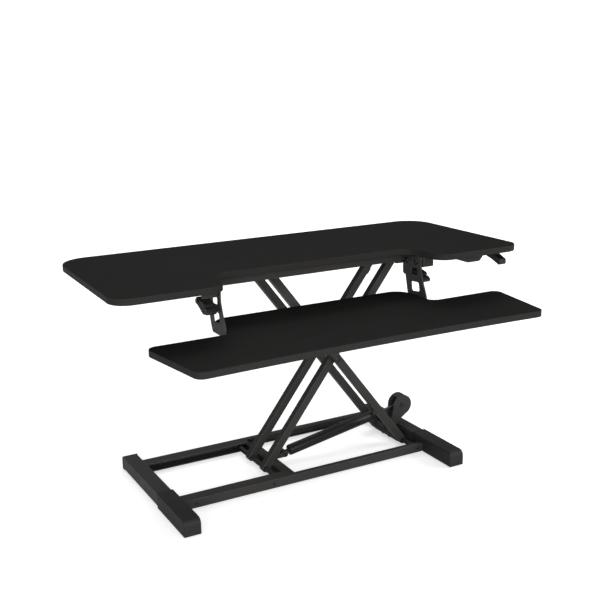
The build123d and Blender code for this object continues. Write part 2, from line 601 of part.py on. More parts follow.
ROD_EYE_RADIUS = 9
ROD_START = CYLINDER_START + CYLINDER_LENGTH - PISTON_INSET
with BuildPart() as rod:
    with BuildSketch(SPRING_AXIS.offset(ROD_START)):
        Circle(ROD_RADIUS)
    extrude(amount=SPRING_LENGTH - ROCKER_PIN_RADIUS - 0.5 - ROD_START)
    with BuildSketch(SPRING_AXIS.offset(ROD_START)):
        Circle(PISTON_RADIUS)
    extrude(amount=8)
    with BuildSketch(upright(MID_Y + EYE_WIDTH / 2)):
        with Locations(SPRING_HEAD):
            Circle(ROD_EYE_RADIUS)
    extrude(amount=EYE_WIDTH)
    with BuildSketch(upright(MID_Y + EYE_WIDTH / 2)):
        with Locations(SPRING_HEAD):
            Circle(ROCKER_PIN_RADIUS + RUNNING)
    extrude(amount=EYE_WIDTH, mode=Mode.SUBTRACT)
save(rod.part, "spring_rod")

COLLAR_LENGTH, COLLAR_RADIUS = 11, 7.5
with BuildPart() as valve_collar:
    with BuildSketch(SPRING_AXIS.offset(SPRING_LENGTH - ROD_EYE_RADIUS - COLLAR_LENGTH - 1)):
        Circle(COLLAR_RADIUS)
        Circle(ROD_RADIUS, mode=Mode.SUBTRACT)
    extrude(amount=COLLAR_LENGTH)
save(valve_collar.part, "spring_valve_collar")

# --- tray hangers -------------------------------------------------------------------
# Outlines in Y and Z: the arm narrows upwards and has two windows.
ARM_TOP, SHELF_Z = DESK_BOTTOM - 3, TRAY_BOTTOM - SHEET
ARM_OUTLINE = ((4, ARM_TOP), (-17, 453), (-26, SHELF_Z), (-100, SHELF_Z), (-90, 462),
               (-80, 484), (-71, 510), (-70, ARM_TOP))
UPPER_WINDOW = ((-28, 499), (-28, 517), (-57, 518), (-56, 500))
LOWER_WINDOW = ((-34, 458), (-30, 482), (-62, 484), (-67, 462))
WEB_OUTLINE = ((8, 493), (8, DESK_BOTTOM), (-78, DESK_BOTTOM), (-78, 525), (-29, 520), (-26, 493))
WEB_ROUNDED = (WEB_OUTLINE[0], WEB_OUTLINE[4], WEB_OUTLINE[5])
LATCH_LEVER = ((-12, 512.5), (-50, 504), (-68, 489), (-64, 483), (-42, 480.5), (-13, 495.5))
HANGER_BOLTS = ((-12, 530), (-48, 532))
STUD = (-56, 493)
LATCH_HUB_RADIUS, NOTCH_REACH = 9, 16
LIP_HEIGHT = 26
EAR_CUT_X, EAR_OUTER_X, EAR_SHOULDER_Z, EAR_BOTTOM_Z = 240, 265, 532, 520
WEB_X = ARM_INNER_X + SHEET      # outer face of the arm, inner face of the hanger's web
for name, side in (("left", -1), ("right", 1)):
    with BuildPart() as arm:
        with BuildSketch(sideways(min(side * ARM_INNER_X, side * WEB_X))):
            Polygon(*ARM_OUTLINE, align=None)
            fillet(vertices_at(ARM_OUTLINE[2:4]), radius=4)
            for window in (UPPER_WINDOW, LOWER_WINDOW):
                Polygon(*window, align=None, mode=Mode.SUBTRACT)
            fillet(vertices_at(UPPER_WINDOW + LOWER_WINDOW), radius=5)
            with Locations(*HANGER_BOLTS):
                Circle(BOLT_RADIUS, mode=Mode.SUBTRACT)
        extrude(amount=SHEET)
        with BuildSketch(Plane.XY.offset(SHELF_Z)):
            with Locations((side * (WEB_X - SHELF_WIDTH / 2), SHELF_MID_Y)):
                RectangleRounded(SHELF_WIDTH, SHELF_DEPTH, 3)
            with Locations(*[(side * TRAY_SCREW_X, y) for y in TRAY_SCREWS_Y]):
                Circle(SCREW_RADIUS, mode=Mode.SUBTRACT)
        extrude(amount=SHEET)
    save(arm.part, f"tray_arm_{name}")

    # Bent steel hanger under the desktop: top flange, web beside the arm, front lip, rear ear.
    with BuildPart() as hanger:
        with BuildSketch(sideways(min(side * WEB_X, side * (WEB_X + SHEET)))):
            Polygon(*WEB_OUTLINE, align=None)
            fillet(vertices_at(WEB_ROUNDED), radius=8)
            with Locations(*HANGER_BOLTS):
                Circle(BOLT_RADIUS, mode=Mode.SUBTRACT)
            with Locations(LATCH_HUB):
                Circle(LATCH_PIN_RADIUS, mode=Mode.SUBTRACT)
        extrude(amount=SHEET)
        flange_mid = side * (WEB_X + HANGER_OUTER_X) / 2
        flange_width = HANGER_OUTER_X - WEB_X
        with BuildSketch(Plane.XY.offset(DESK_BOTTOM - SHEET)):
            with Locations((flange_mid, FLANGE_MID_Y)):
                Rectangle(flange_width, FLANGE_DEPTH)
            with Locations(*[(side * FLANGE_SCREW_X, y) for y in FLANGE_SCREWS_Y]):
                Circle(SCREW_RADIUS, mode=Mode.SUBTRACT)
        extrude(amount=SHEET)
        with BuildSketch(upright(LIP_Y + SHEET)):
            with Locations((flange_mid, DESK_BOTTOM - LIP_HEIGHT / 2)):
                RectangleRounded(flange_width, LIP_HEIGHT, 2)
        extrude(amount=SHEET)
        ear = [(side * x, z) for x, z in (
            (EAR_INNER_X, DESK_BOTTOM), (EAR_INNER_X, EAR_SHOULDER_Z), (EAR_CUT_X, EAR_BOTTOM_Z),
            (EAR_OUTER_X, EAR_BOTTOM_Z), (EAR_OUTER_X, DESK_BOTTOM))]
        with BuildSketch(upright(MID_Y - TOP_RAIL_HALF_SPAN)):
            with BuildLine():
                Polyline(*ear, close=True)
            make_face()
            fillet(vertices_at(ear[1:3]), radius=9)
        extrude(amount=SHEET)
    save(hanger.part, f"hanger_{name}")

    # Latch lever outside the hanger; its notch, open upwards, seats the catch stud on the arm.
    stud_dy, stud_dz = STUD[0] - LATCH_HUB[0], STUD[1] - LATCH_HUB[1]
    notch_angle = degrees(atan2(-stud_dy, stud_dz))
    notch_radius = STUD_RADIUS + 0.7
    notch_top = (STUD[0] + NOTCH_REACH * cos(radians(notch_angle)),
                 STUD[1] + NOTCH_REACH * sin(radians(notch_angle)))
    with BuildPart() as latch:
        with BuildSketch(sideways(min(side * LATCH_INNER_X, side * LATCH_OUTER_X))):
            with Locations(LATCH_HUB):
                Circle(LATCH_HUB_RADIUS)
            Polygon(*LATCH_LEVER, align=None)
            fillet(vertices_at(LATCH_LEVER[1:5]), radius=2.5)
            with Locations(LATCH_HUB):
                Circle(LATCH_PIN_RADIUS + RUNNING, mode=Mode.SUBTRACT)
            with Locations(STUD):
                Circle(notch_radius, mode=Mode.SUBTRACT)
            with Locations(((STUD[0] + notch_top[0]) / 2, (STUD[1] + notch_top[1]) / 2)):
                Rectangle(NOTCH_REACH, 2 * notch_radius, rotation=notch_angle, mode=Mode.SUBTRACT)
        extrude(amount=LATCH_OUTER_X - LATCH_INNER_X)
    save(latch.part, f"latch_{name}")

with BuildPart() as latch_pins:
    head_x = LATCH_OUTER_X + 0.5
    for side in (-1, 1):
        with BuildSketch(sideways(min(side * WEB_X, side * LATCH_PIN_END_X))):
            with Locations(LATCH_HUB):
                Circle(LATCH_PIN_RADIUS)
        extrude(amount=LATCH_PIN_END_X - WEB_X)
        with BuildSketch(sideways(min(side * head_x, side * LATCH_PIN_END_X))):
            with Locations(LATCH_HUB):
                Circle(LATCH_PIN_RADIUS + 2.5)
        extrude(amount=LATCH_PIN_END_X - head_x)
save(latch_pins.part, "latch_pins")

with BuildPart() as catch_studs:
    for side in (-1, 1):
        with BuildSketch(sideways(min(side * WEB_X, side * LATCH_OUTER_X))):
            with Locations(STUD):
                Circle(STUD_RADIUS)
        extrude(amount=LATCH_OUTER_X - WEB_X)
save(catch_studs.part, "catch_studs")

BOLT_HEAD, NUT = 3, 4
with BuildPart() as hanger_bolts:
    for side in (-1, 1):
        nut_end = side * (WEB_X + SHEET + NUT)
        head_end = side * (ARM_INNER_X - BOLT_HEAD)
        with BuildSketch(sideways(min(nut_end, head_end))):
            with Locations(*HANGER_BOLTS):
                Circle(BOLT_RADIUS)
        extrude(amount=abs(nut_end - head_end))
        with BuildSketch(sideways(min(head_end, side * ARM_INNER_X))):
            with Locations(*HANGER_BOLTS):
                Circle(BOLT_RADIUS + 3)
        extrude(amount=BOLT_HEAD)
        with BuildSketch(sideways(min(nut_end, nut_end - side * NUT))):
            with Locations(*HANGER_BOLTS):
                RegularPolygon(BOLT_RADIUS + 3, 6)
        extrude(amount=NUT)
save(hanger_bolts.part, "hanger_bolts")

# --- height release -----------------------------------------------------------------
HOUSING_LEFT, HOUSING_RIGHT, HOUSING_DROP, HOUSING_SLOPE = 350, 414, 17, 12
HOUSING_REAR, HOUSING_DEPTH = -64, 48
with BuildPart() as housing:
    lower_left = (HOUSING_LEFT + HOUSING_SLOPE, DESK_BOTTOM - HOUSING_DROP)
    lower_right = (HOUSING_RIGHT - HOUSING_SLOPE, DESK_BOTTOM - HOUSING_DROP)
    with BuildSketch(upright(HOUSING_REAR)):
        with BuildLine():
            Polyline((HOUSING_LEFT, DESK_BOTTOM), lower_left, lower_right,
                     (HOUSING_RIGHT, DESK_BOTTOM), close=True)
        make_face()
        fillet(vertices_at([lower_left, lower_right]), radius=9)
    extrude(amount=HOUSING_DEPTH)
    with BuildSketch(sideways(HOUSING_LEFT)):
        with Locations(LEVER_PIVOT):
            Circle(SHAFT_RADIUS)
    extrude(amount=HOUSING_RIGHT - HOUSING_LEFT, mode=Mode.SUBTRACT)
save(housing.part, "lever_housing")

SHAFT_LEFT, SHAFT_SOCKET = HOUSING_LEFT + 12, 2
with BuildPart() as lever_shaft:
    with BuildSketch(sideways(SHAFT_LEFT)):
        with Locations(LEVER_PIVOT):
            Circle(SHAFT_RADIUS - RUNNING)
    extrude(amount=LEVER_LEFT_X + SHAFT_SOCKET - SHAFT_LEFT)
save(lever_shaft.part, "lever_shaft")

# Hollow finger paddle, outline and hollow in Y and Z.
PADDLE_REAR_Y, PADDLE_TIP_Y, PADDLE_WALL = LEVER_PIVOT[0] + 7, -121, 3
PADDLE_OUTLINE = ((PADDLE_REAR_Y, 541), (PADDLE_REAR_Y, 529), (-90, 524.5),
                  (PADDLE_TIP_Y + 3, 514), (PADDLE_TIP_Y, 517), (PADDLE_TIP_Y, 527), (-95, 537))
PADDLE_HOLLOW = ((-84, 540), (-84, 531), (-93, 527.5), (-114, 520), (-117, 530))
with BuildPart() as paddle:
    with BuildSketch(sideways(LEVER_LEFT_X)):
        with BuildLine():
            Polyline(*PADDLE_OUTLINE, close=True)
        make_face()
        fillet(vertices_at(PADDLE_OUTLINE[:2] + PADDLE_OUTLINE[5:]), radius=3)
    extrude(amount=LEVER_RIGHT_X - LEVER_LEFT_X)
    with BuildSketch(sideways(LEVER_LEFT_X + PADDLE_WALL)):
        Polygon(*PADDLE_HOLLOW, align=None)
    extrude(amount=LEVER_RIGHT_X - LEVER_LEFT_X - 2 * PADDLE_WALL, mode=Mode.SUBTRACT)
    with BuildSketch(sideways(LEVER_LEFT_X)):
        with Locations(LEVER_PIVOT):
            Circle(SHAFT_RADIUS - RUNNING)
    extrude(amount=SHAFT_SOCKET, mode=Mode.SUBTRACT)
save(paddle.part, "release_paddle")

FERRULE_Z, FERRULE_LENGTH = 537, 12
with BuildPart() as ferrule:
    with BuildSketch(upright(HOUSING_REAR + FERRULE_LENGTH)):
        with Locations(((HOUSING_LEFT + HOUSING_RIGHT) / 2, FERRULE_Z)):
            Circle(SHAFT_RADIUS)
            Circle(1.5, mode=Mode.SUBTRACT)
    extrude(amount=FERRULE_LENGTH)
save(ferrule.part, "cable_ferrule")

# --- screws -------------------------------------------------------------------------
with BuildPart() as desk_screws:
    for x, y, head_z in desk_screw_places():
        with BuildSketch(Plane.XY.offset(head_z)):
            with Locations((x, y)):
                Circle(SCREW_RADIUS)
        extrude(amount=DESK_BOTTOM + SCREW_DEPTH - 1 - head_z)
        with BuildSketch(Plane.XY.offset(head_z - SCREW_HEAD)):
            with Locations((x, y)):
                Circle(SCREW_HEAD_RADIUS)
        extrude(amount=SCREW_HEAD)
save(desk_screws.part, "desktop_screws")

with BuildPart() as tray_screws:
    for x, y in tray_screw_places():
        with BuildSketch(Plane.XY.offset(TRAY_BOTTOM - SHEET)):
            with Locations((x, y)):
                Circle(SCREW_RADIUS)
        extrude(amount=SHEET + SCREW_DEPTH - 1)
        with BuildSketch(Plane.XY.offset(TRAY_BOTTOM - SHEET - SCREW_HEAD)):
            with Locations((x, y)):
                Circle(SCREW_HEAD_RADIUS)
        extrude(amount=SCREW_HEAD)
save(tray_screws.part, "tray_screws")


def web_screws(half_span, z, places):
    """Button-head screws through both rail webs, heads outside; places are (x, length)."""
    with BuildPart() as group:
        for face in (-1, 1):
            web = MID_Y + face * half_span
            for x, length in places:
                inner = web - face * length
                with BuildSketch(upright(max(web, inner))):
                    with Locations((x, z)):
                        Circle(SCREW_RADIUS)
                extrude(amount=length)
                with BuildSketch(upright(max(web, web + face * SCREW_HEAD))):
                    with Locations((x, z)):
                        Circle(SCREW_HEAD_RADIUS)
                extrude(amount=SCREW_HEAD)
    return group.part


AXLE_SCREW = (FIXED_X, 12)
PLATE_SCREWS = [(x, RAIL_WALL) for x in BASE_SCREWS_X[:2]]
save(web_screws(BASE_RAIL_HALF_SPAN, LOW_PIVOT_Z, [AXLE_SCREW] + PLATE_SCREWS), "base_screws")
save(web_screws(TOP_RAIL_HALF_SPAN, HIGH_PIVOT_Z, [AXLE_SCREW]), "top_axle_screws")
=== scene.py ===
import json
import math

import bmesh
import bpy
from mathutils import Matrix, Vector


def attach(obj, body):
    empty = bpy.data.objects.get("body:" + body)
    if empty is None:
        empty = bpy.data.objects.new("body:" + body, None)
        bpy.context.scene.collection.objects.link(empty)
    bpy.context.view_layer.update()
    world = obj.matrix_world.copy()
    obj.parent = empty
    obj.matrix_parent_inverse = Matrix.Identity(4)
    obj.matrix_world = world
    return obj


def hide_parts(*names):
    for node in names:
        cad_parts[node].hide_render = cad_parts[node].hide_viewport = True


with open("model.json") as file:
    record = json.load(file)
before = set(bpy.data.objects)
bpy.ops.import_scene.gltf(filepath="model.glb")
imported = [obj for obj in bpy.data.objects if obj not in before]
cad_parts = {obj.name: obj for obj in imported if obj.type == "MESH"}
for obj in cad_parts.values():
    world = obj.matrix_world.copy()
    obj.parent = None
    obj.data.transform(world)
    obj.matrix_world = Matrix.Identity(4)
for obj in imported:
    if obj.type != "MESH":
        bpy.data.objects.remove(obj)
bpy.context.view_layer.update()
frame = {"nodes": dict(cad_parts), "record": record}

# ---------------------------------------------------------------- places, in metres
MID_Y = 0.155                             # middle plane between the front and the rear rails
FIXED_X, SLIDING_X = 0.321, -0.076        # the fixed axles and the rollers' axles
LOW_Z, HIGH_Z = 0.015, 0.535              # the axles of the base and of the top
CENTRE = Vector((0.1225, MID_Y, 0.275))
SPRING_BASE = Vector((-0.002, MID_Y, 0.024))
SPRING_HEAD = Vector((0.358, MID_Y, 0.088))
BASE_WEB, TOP_WEB = 0.137, 0.147          # middle plane to the outer face of each rail's web
X_AXIS, Y_AXIS, Z_AXIS = Vector((1, 0, 0)), Vector((0, 1, 0)), Vector((0, 0, 1))


# ---------------------------------------------------------------- materials
def feed(socket, value):
    """Link an output to the socket, or set the socket's own value."""
    if isinstance(value, bpy.types.NodeSocket):
        socket.id_data.links.new(value, socket)
    else:
        socket.default_value = value


def grow(tree, kind, inputs=(), **settings):
    """Add one node to a tree, with its settings first and its inputs after them."""
    made = tree.nodes.new(kind)
    for key, value in settings.items():
        setattr(made, key, value)
    for key, value in dict(inputs).items():
        feed(made.inputs[key], value)
    return made


class Recipe:
    """A small helper that grows one material's node tree."""

    def __init__(self, name):
        self.material = bpy.data.materials.new(name)
        self.material.use_nodes = True
        self.tree = self.material.node_tree
        self.tree.nodes.clear()
        output = self.node("ShaderNodeOutputMaterial")
        self.shader = self.node("ShaderNodeBsdfPrincipled")
        feed(output.inputs[0], self.shader.outputs[0])
        self.place = self.node("ShaderNodeTexCoord").outputs["Object"]

    def node(self, kind, inputs=(), **settings):
        return grow(self.tree, kind, inputs, **settings)

    def put(self, key, value):
        """Give the shader one of its inputs."""
        feed(self.shader.inputs[key], value)

    def noise(self, scale, detail=3.0, roughness=0.55, stretch=None):
        place = self.place
        if stretch:
            place = self.node("ShaderNodeMapping", {"Vector": place, "Scale": stretch}).outputs[0]
        made = self.node("ShaderNodeTexNoise", {"Vector": place, "Scale": scale, "Detail": detail,
                                                "Roughness": roughness})
        return made.outputs[0]

    def cells(self, scale):
        return self.node("ShaderNodeTexVoronoi", {"Vector": self.place, "Scale": scale}).outputs[0]

    def ramp(self, value, low, high, to_low=0.0, to_high=1.0):
        made = self.node("ShaderNodeMapRange", {"Value": value, "From Min": low, "From Max": high,
                                                "To Min": to_low, "To Max": to_high})
        return made.outputs[0]

    def maths(self, operation, a, b=0.0):
        return self.node("ShaderNodeMath", {0: a, 1: b}, operation=operation).outputs[0]

    def mix(self, factor, a, b):
        made = self.node("ShaderNodeMix", {"Factor": factor, "A": a, "B": b}, data_type="RGBA")
        return made.outputs["Result"]

    def rounded(self, radius):
        """The surface's normal, with sharp edges rounded to radius."""
        return self.node("ShaderNodeBevel", {"Radius": radius}, samples=4).outputs[0]

    def edges(self, soft):
        """How far a rounded normal turns away from the face: 1 on a sharp edge, 0 on a face."""
        face = self.node("ShaderNodeNewGeometry").outputs["True Normal"]
        dot = self.node("ShaderNodeVectorMath", {0: soft, 1: face}, operation="DOT_PRODUCT")
        return self.ramp(dot.outputs["Value"], 0.999, 0.90)

    def bump(self, height, distance, strength, normal):
        return self.node("ShaderNodeBump", {"Height": height, "Distance": distance,
                                            "Strength": strength, "Normal": normal}).outputs[0]


def grey(value, warm=0.0):
    return (value * (1 + warm), value, value * (1 - warm), 1.0)


def laminate(name):
    """Black melamine board: fine pearl texture above and below, a smoother band round the edge
    painted lighter where it stands upright, and a painted highlight along the edges.
    """
    r = Recipe(name)
    geometry = r.node("ShaderNodeNewGeometry")
    up = r.node("ShaderNodeSeparateXYZ", {0: geometry.outputs["Normal"]}).outputs["Z"]
    flat = r.ramp(r.maths("ABSOLUTE", up), 0.35, 0.75)
    clouds = r.noise(3.0, 4.0)
    specks = r.noise(1400.0, 2.0, 0.7)
    grain = r.noise(260.0, 3.0, 0.6)
    face = r.mix(clouds, grey(0.0086, 0.05), grey(0.0138, 0.05))
    face = r.mix(r.ramp(specks, 0.58, 0.78, 0.0, 0.35), face, grey(0.055, 0.02))
    # Painted light: the upright edge faces are coloured lighter than the top and bottom faces, to
    # look lit.
    lit_edge_band = r.mix(grain, grey(0.019, 0.04), grey(0.029, 0.04))
    soft = r.rounded(0.0012)
    colour = r.mix(flat, lit_edge_band, face)
    # Painted highlight: a lighter colour along the rounded edges, stronger where the grain runs
    # light.
    painted_edge_highlight = r.maths("MULTIPLY", r.edges(soft), r.ramp(grain, 0.4, 0.7, 0.25, 0.75))
    colour = r.mix(painted_edge_highlight, colour, grey(0.042, 0.02))
    r.put("Base Color", colour)
    smudge = r.noise(11.0, 5.0, 0.6)
    rough = r.maths("ADD", r.ramp(smudge, 0.3, 0.7, -0.04, 0.05), r.ramp(flat, 0, 1, 0.46, 0.56))
    r.put("Roughness", rough)
    r.put("Specular IOR Level", 0.06)
    pearl = r.maths("ADD", r.cells(900.0), r.maths("MULTIPLY", specks, 0.6))
    r.put("Normal", r.bump(pearl, 0.00006, r.ramp(flat, 0, 1, 0.25, 0.8), soft))
    return r.material


def powder(name, value=0.036, rough=0.44, edge_highlight_value=0.190):
    """Satin powder coat: orange peel, faint clouding, and a painted highlight in a paler colour
    along the edges.
    """
    r = Recipe(name)
    clouds = r.noise(6.0, 4.0)
    peel = r.noise(750.0, 2.0, 0.45)
    fine = r.noise(2600.0, 1.0)
    colour = r.mix(clouds, grey(value * 0.82, 0.04), grey(value * 1.25, 0.04))
    soft = r.rounded(0.0014)
    patches = r.ramp(r.noise(90.0, 4.0, 0.65), 0.35, 0.65, 0.25, 0.9)
    # Painted highlight: a paler colour along the edges, in patches.
    painted_edge_highlight = r.maths("MULTIPLY", r.edges(soft), patches)
    colour = r.mix(painted_edge_highlight, colour, grey(edge_highlight_value, 0.02))
    r.put("Base Color", colour)
    r.put("Roughness", r.maths("ADD", r.ramp(r.noise(14.0, 5.0), 0.3, 0.7, -0.05, 0.06), rough))
    r.put("Specular IOR Level", 0.18)
    height = r.maths("ADD", peel, r.maths("MULTIPLY", fine, 0.35))
    r.put("Normal", r.bump(height, 0.00007, 0.8, soft))
    return r.material


def moulded(name, value=0.023, rough=0.50):
    """Moulded plastic with a spark-eroded texture and a painted highlight along its edges."""
    r = Recipe(name)
    clouds = r.noise(9.0, 3.0)
    spark = r.cells(1500.0)
    sand = r.noise(1900.0, 2.0, 0.6)
    soft = r.rounded(0.0008)
    colour = r.mix(clouds, grey(value * 0.88, 0.02), grey(value * 1.15, 0.02))
    # Painted highlight: a lighter colour along the edges.
    painted_edge_highlight = r.maths("MULTIPLY", r.edges(soft), 0.5)
    colour = r.mix(painted_edge_highlight, colour, grey(value * 2.6, 0.02))
    r.put("Base Color", colour)
    r.put("Roughness", r.maths("ADD", r.ramp(sand, 0.3, 0.7, -0.05, 0.06), rough))
    r.put("Specular IOR Level", 0.2)
    r.put("Normal", r.bump(r.maths("ADD", spark, sand), 0.00005, 0.7, soft))
    return r.material


def nylon(name):
    """Smooth turned nylon with faint turning rings."""
    r = Recipe(name)
    clouds = r.noise(40.0, 3.0)
    r.put("Base Color", r.mix(clouds, grey(0.022), grey(0.034)))
    r.put("Roughness", r.ramp(clouds, 0.3, 0.7, 0.30, 0.40))
    rings = r.noise(1200.0, 1.0, 0.5, (1, 0.02, 1))
    r.put("Normal", r.bump(rings, 0.00003, 0.5, r.rounded(0.0004)))
    return r.material


def rubber(name):
    """Matt rubber, lightly dusted."""
    r = Recipe(name)
    dust = r.noise(120.0, 5.0, 0.65)
    r.put("Base Color", r.mix(r.ramp(dust, 0.45, 0.75, 0.0, 0.5), grey(0.022), grey(0.045, 0.03)))
    r.put("Roughness", r.ramp(dust, 0.3, 0.7, 0.72, 0.88))
    r.put("Normal", r.bump(r.noise(1600.0, 3.0), 0.00008, 0.9, r.rounded(0.0006)))
    return r.material


def steel(name, value, rough, metal, streak=(1, 1, 1), strength=0.35):
    """Bare or blackened steel with tool marks along one way and a painted highlight along its edges.
    """
    r = Recipe(name)
    marks = r.noise(900.0, 3.0, 0.6, streak)
    stain = r.noise(60.0, 4.0, 0.6)
    soft = r.rounded(0.0004)
    colour = r.mix(stain, grey(value * 0.8), grey(value * 1.15))
    # Painted highlight: a lighter colour along the edges.
    painted_edge_highlight = r.maths("MULTIPLY", r.edges(soft), 0.6)
    colour = r.mix(painted_edge_highlight, colour, grey(value * 1.9))
    r.put("Base Color", colour)
    r.put("Metallic", metal)
    r.put("Roughness", r.maths("ADD", r.ramp(marks, 0.3, 0.7, -0.06, 0.08), rough))
    r.put("Normal", r.bump(marks, 0.00003, strength, soft))
    return r.material


BOARD = laminate("board_laminate")
COAT = powder("powder_coat")
# The last number is the grey of the cylinder's painted edge highlight.
CYLINDER_PAINT = powder("cylinder_paint", 0.016, 0.30, 0.05)
PLASTIC = moulded("moulded_plastic")
NYLON = nylon("roller_nylon")
RUBBER = rubber("pad_rubber")
ROD = steel("bright_rod", 0.16, 0.22, 1.0, (0.02, 1, 1), 0.2)
FASTENER = steel("black_fastener", 0.045, 0.36, 0.85)
AXLE = steel("axle_steel", 0.05, 0.34, 0.8, (1, 0.02, 1))
SLOTS = {"board_laminate": BOARD, "powder_coat": COAT, "moulded_plastic": PLASTIC,
         "roller_nylon": NYLON, "pad_rubber": RUBBER, "bright_rod": ROD,
         "black_fastener": FASTENER, "axle_steel": AXLE}

slot_of = {row["node"]: row["material_slot"] for row in frame["record"]["subparts"]}
for name, cad in frame["nodes"].items():
    paint = CYLINDER_PAINT if name == "spring_cylinder" else SLOTS[slot_of[name]]
    if not cad.data.materials:
        cad.data.materials.append(paint)
    for row in cad.material_slots:
        row.link = "OBJECT"
        row.material = paint


# ---------------------------------------------------------------- mesh tools, in metres
def aim(origin, axis):
    """Place whose Z axis points along axis."""
    return Matrix.Translation(origin) @ Vector(axis).to_track_quat("Z", "Y").to_matrix().to_4x4()


def polygon(sides, across):
    """Radius by angle of a regular polygon, across its flats."""
    step = 2 * math.pi / sides
    return lambda angle: across / 2 / math.cos((angle + step / 2) % step - step / 2)


def ribbed(radius, depth, count):
    """Radius by angle of a knurled ring."""
    return lambda angle: radius - depth * (0.5 + 0.5 * math.cos(count * angle))


def skin(bm, loops, closed=False):
    """Faces from each loop of points to the next; the ends are capped, or joined if closed."""
    pairs = list(zip(loops, loops[1:])) + ([(loops[-1], loops[0])] if closed else [])
    for low, high in pairs:
        for i in range(len(low)):
            j = (i + 1) % len(low)
            bm.faces.new((low[i], low[j], high[j], high[i]))
    if not closed:
        bm.faces.new(loops[0][::-1])
        bm.faces.new(loops[-1])


def lathe(bm, place, rings, steps=48, closed=False):
    """Skin over rings of (radius or radius by angle, height) round the Z axis of place."""
    loops = []
    for shape, rise in rings:
        loop = []
        for i in range(steps):
            angle = 2 * math.pi * i / steps
            radius = shape(angle) if callable(shape) else shape
            spot = Vector((radius * math.cos(angle), radius * math.sin(angle), rise))
            loop.append(bm.verts.new(place @ spot))
        loops.append(loop)
    skin(bm, loops, closed)


def rope(bm, points, up, size, ripple=0.0, closed=False):
    """Rounded bead along points; ripple swells it every few points, as a weld does."""
    sides, pitch, count, loops = 10, 5, len(points), []
    corners = [2 * math.pi * k / sides for k in range(sides)]
    up = Vector(up).normalized()
    for i, point in enumerate(points):
        ahead = points[(i + 1) % count] if closed else points[min(i + 1, count - 1)]
        behind = points[i - 1] if closed or i else points[0]
        out = (ahead - behind).normalized().cross(up)
        end = min(i, count - 1 - i)
        taper = 1.0 if closed or end > 1 else (0.35, 0.8)[end]
        swell = size * taper * (1 + ripple * math.cos(2 * math.pi * i / pitch))
        loops.append([bm.verts.new(point + swell * (math.cos(a) * out + math.sin(a) * up))
                      for a in corners])
    skin(bm, loops, closed)


def ring_points(centre, radius, count):
    """Points round the Y axis through centre."""
    return [centre + radius * Vector((math.cos(a), 0, math.sin(a)))
            for a in [2 * math.pi * k / count for k in range(count)]]


def line_points(start, end, count):
    """Evenly spaced points from start to end."""
    return [Vector(start).lerp(Vector(end), k / (count - 1)) for k in range(count)]


def slab(bm, centre, width, depth, corner, low, high, shrink=0.0):
    """Rounded rectangle standing between two heights, smaller by shrink at its foot."""
    loops = []
    for rise, inset in ((low, shrink), (high, 0.0)):
        loop = []
        for quarter, (sx, sy) in enumerate(((1, 1), (-1, 1), (-1, -1), (1, -1))):
            for k in range(7):
                a = math.pi / 2 * (quarter + k / 6)
                x = sx * (width / 2 - corner) + (corner - inset) * math.cos(a)
                y = sy * (depth / 2 - corner) + (corner - inset) * math.sin(a)
                loop.append(bm.verts.new((centre[0] + x, centre[1] + y, rise)))
        loops.append(loop)
    skin(bm, loops)


SHARP = math.radians(32)              # edges that turn more than this stay crisp


def piece(name, bm, body, slot, nodes=(), paint=None):
    """Finish a mesh as one named piece on its body; nodes are what it stands for."""
    bmesh.ops.recalc_face_normals(bm, faces=bm.faces[:])
    for face in bm.faces:
        face.smooth = True
    mesh = bpy.data.meshes.new(name)
    bm.to_mesh(mesh)
    bm.free()
    mesh.set_sharp_from_angle(angle=SHARP)
    mesh.materials.append(paint or SLOTS[slot])
    made = bpy.data.objects.new(name, mesh)
    bpy.context.scene.collection.objects.link(made)
    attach(made, body)
    if nodes:
        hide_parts(*nodes)


# ---------------------------------------------------------------- screws, bolts and nuts
SCREW, HEAD, HEAD_RISE = 0.0025, 0.0045, 0.0016      # shank and head radius, head height
HEXAGON = 6


def screw(bm, origin, axis, length, head=HEAD, rise=HEAD_RISE, shank=SCREW):
    """Button-head screw with a drive recess; its head stands on origin and faces along axis."""
    mouth, socket = polygon(HEXAGON, head * 0.95), polygon(HEXAGON, head * 0.88)
    stem = [(shank * 0.6, -length), (shank, -length + shank * 0.5), (shank, 0)]
    dome = [(head, 0), (head, rise * 0.3), (head * 0.94, rise * 0.62), (head * 0.8, rise * 0.9),
            (head * 0.62, rise)]
    recess = [(mouth, rise), (socket, rise * 0.9), (socket, rise * 0.15)]
    lathe(bm, aim(origin, axis), stem + dome + recess)


def nut(bm, origin, axis, corner, rise, thread):
    """Chamfered hexagon nut with the end of its bolt inside; it stands on origin."""
    flats = corner * math.sqrt(3)
    outside = [(flats * 0.47, 0), (polygon(HEXAGON, flats), rise * 0.12),
               (polygon(HEXAGON, flats), rise * 0.82), (flats * 0.475, rise)]
    bolt_end = [(thread * 1.12, rise), (thread, rise * 0.9), (thread * 0.95, rise * 0.75),
                (thread * 0.5, rise * 0.72)]
    lathe(bm, aim(origin, axis), outside + bolt_end)


def rail_screws(half_span, height, places):
    """Screws through the webs of the front and the rear rail, at (x, length) places."""
    bm = bmesh.new()
    for face in (-1, 1):
        for x, length in places:
            screw(bm, (x, MID_Y + face * half_span, height), face * Y_AXIS, length)
    return bm


# lengths below the head
AXLE_SCREW, WEB_SCREW, BOARD_SCREW, RAIL_SCREW = 0.012, 0.002, 0.013, 0.012
PLATE_SCREWS_X = (-0.300, -0.098)
bm = rail_screws(BASE_WEB, LOW_Z, [(FIXED_X, AXLE_SCREW)] + [(x, WEB_SCREW) for x in PLATE_SCREWS_X])
piece("base_screws_detailed", bm, "base", "black_fastener", ["base_screws"])
bm = rail_screws(TOP_WEB, HIGH_Z, ((FIXED_X, AXLE_SCREW),))
piece("top_axle_screws_detailed", bm, "top", "black_fastener", ["top_axle_screws"])

